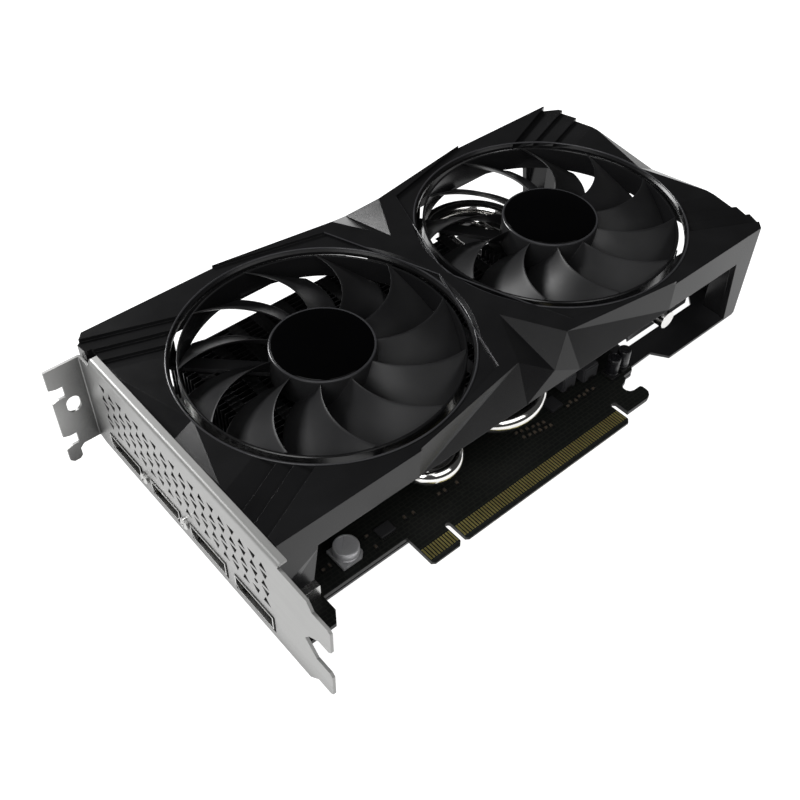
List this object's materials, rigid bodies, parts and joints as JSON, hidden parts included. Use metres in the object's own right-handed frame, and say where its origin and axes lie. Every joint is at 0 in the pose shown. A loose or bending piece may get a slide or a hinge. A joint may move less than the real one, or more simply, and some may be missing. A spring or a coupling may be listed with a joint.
{
  "type": "graphics card",
  "caption": "Two-slot graphics card with twin axial fans in a faceted black shroud, finned heat sink with heat pipes, perforated slot bracket and edge connector.",
  "frame": {"origin": "under the middle of the overall box, at the height of its lowest point, the foot of the bracket tab", "axes": "+X from the slot bracket towards the tail; +Y from the edge connector towards the bracket tab; +Z out of the fans"},
  "size_m": [0.2154, 0.1236, 0.0448],
  "materials": {
    "backplate_black": "satin black powder coat",
    "badge_gloss": "glossy black film",
    "bearing_brass": "sintered bronze",
    "board_laminate": "black solder mask over glass-fibre laminate",
    "bracket_steel": "satin nickel-plated steel",
    "cable_sleeve": "black sleeve",
    "can_aluminium": "drawn aluminium can",
    "ceramic_parts": "ceramic with tinned ends",
    "chip_epoxy": "black epoxy",
    "choke_grey": "pressed iron powder",
    "copper_winding": "enamelled copper wire on laminated steel",
    "fan_plastic": "satin moulded black plastic",
    "fin_aluminium": "thin black-toned aluminium sheet",
    "gold_plating": "thin gold plating",
    "magnet_rubber": "bonded magnet",
    "motor_steel": "pressed steel",
    "package_laminate": "green package laminate",
    "pad_rubber": "soft grey thermal pad",
    "pipe_nickel": "nickel-plated copper",
    "plate_nickel": "machined nickel-plated copper",
    "port_plastic": "black moulded plastic",
    "port_shell": "stamped stainless steel",
    "screw_black": "black oxide steel",
    "screw_steel": "nickel-plated steel",
    "shroud_plastic": "satin moulded black plastic",
    "silicon": "polished silicon"
  },
  "bodies": {
    "root": {"backplate": "backplate_black", "backplate_screws": "screw_black", "bracket_screws": "screw_steel", "capacitor_cans": "can_aluminium", "capacitor_feet": "port_plastic", "cold_plate": "plate_nickel", "controller_chips": "chip_epoxy", "dp_insert_1": "port_plastic", "dp_insert_2": "port_plastic", "dp_insert_3": "port_plastic", "dp_shell_1": "port_shell", "dp_shell_2": "port_shell", "dp_shell_3": "port_shell", "fan_1_base": "fan_plastic", "fan_1_cable": "cable_sleeve", "fan_1_header": "port_plastic", "fan_1_motor_board": "board_laminate", "fan_1_plug": "port_plastic", "fan_1_sleeve": "bearing_brass", "fan_1_stator": "copper_winding", "fan_2_base": "fan_plastic", "fan_2_cable": "cable_sleeve", "fan_2_header": "port_plastic", "fan_2_motor_board": "board_laminate", "fan_2_plug": "port_plastic", "fan_2_sleeve": "bearing_brass", "fan_2_stator": "copper_winding", "gold_fingers": "gold_plating", "gpu_die": "silicon", "gpu_package": "package_laminate", "hdmi_insert": "port_plastic", "hdmi_shell": "port_shell", "heat_pipe_1": "pipe_nickel", "heat_pipe_2": "pipe_nickel", "heat_pipe_3": "pipe_nickel", "heat_pipe_4": "pipe_nickel", "inductors": "choke_grey", "io_bracket": "bracket_steel", "main_fins": "fin_aluminium", "memory_chips": "chip_epoxy", "pcb": "board_laminate", "power_connector": "port_plastic", "power_pins": "port_shell", "power_stages": "chip_epoxy", "screw_springs": "screw_steel", "shroud": "shroud_plastic", "small_parts": "ceramic_parts", "spring_screws": "screw_steel", "tail_fins": "fin_aluminium", "thermal_pads": "pad_rubber"},
    "fan_1": {"fan_1_rotor": "fan_plastic", "fan_1_badge": "badge_gloss", "fan_1_yoke": "motor_steel", "fan_1_magnet": "magnet_rubber", "fan_1_shaft": "motor_steel"},
    "fan_2": {"fan_2_rotor": "fan_plastic", "fan_2_badge": "badge_gloss", "fan_2_yoke": "motor_steel", "fan_2_magnet": "magnet_rubber", "fan_2_shaft": "motor_steel"}
  },
  "joints": [
    {"name": "fan_1_spin", "type": "hinge", "parent": "root", "child": "fan_1", "pos_m": [-0.04093, 0.01188, 0.0377], "axis": [0, 0, 1], "continuous": true},
    {"name": "fan_2_spin", "type": "hinge", "parent": "root", "child": "fan_2", "pos_m": [0.05496, 0.01188, 0.0377], "axis": [0, 0, 1], "continuous": true}
  ]
}
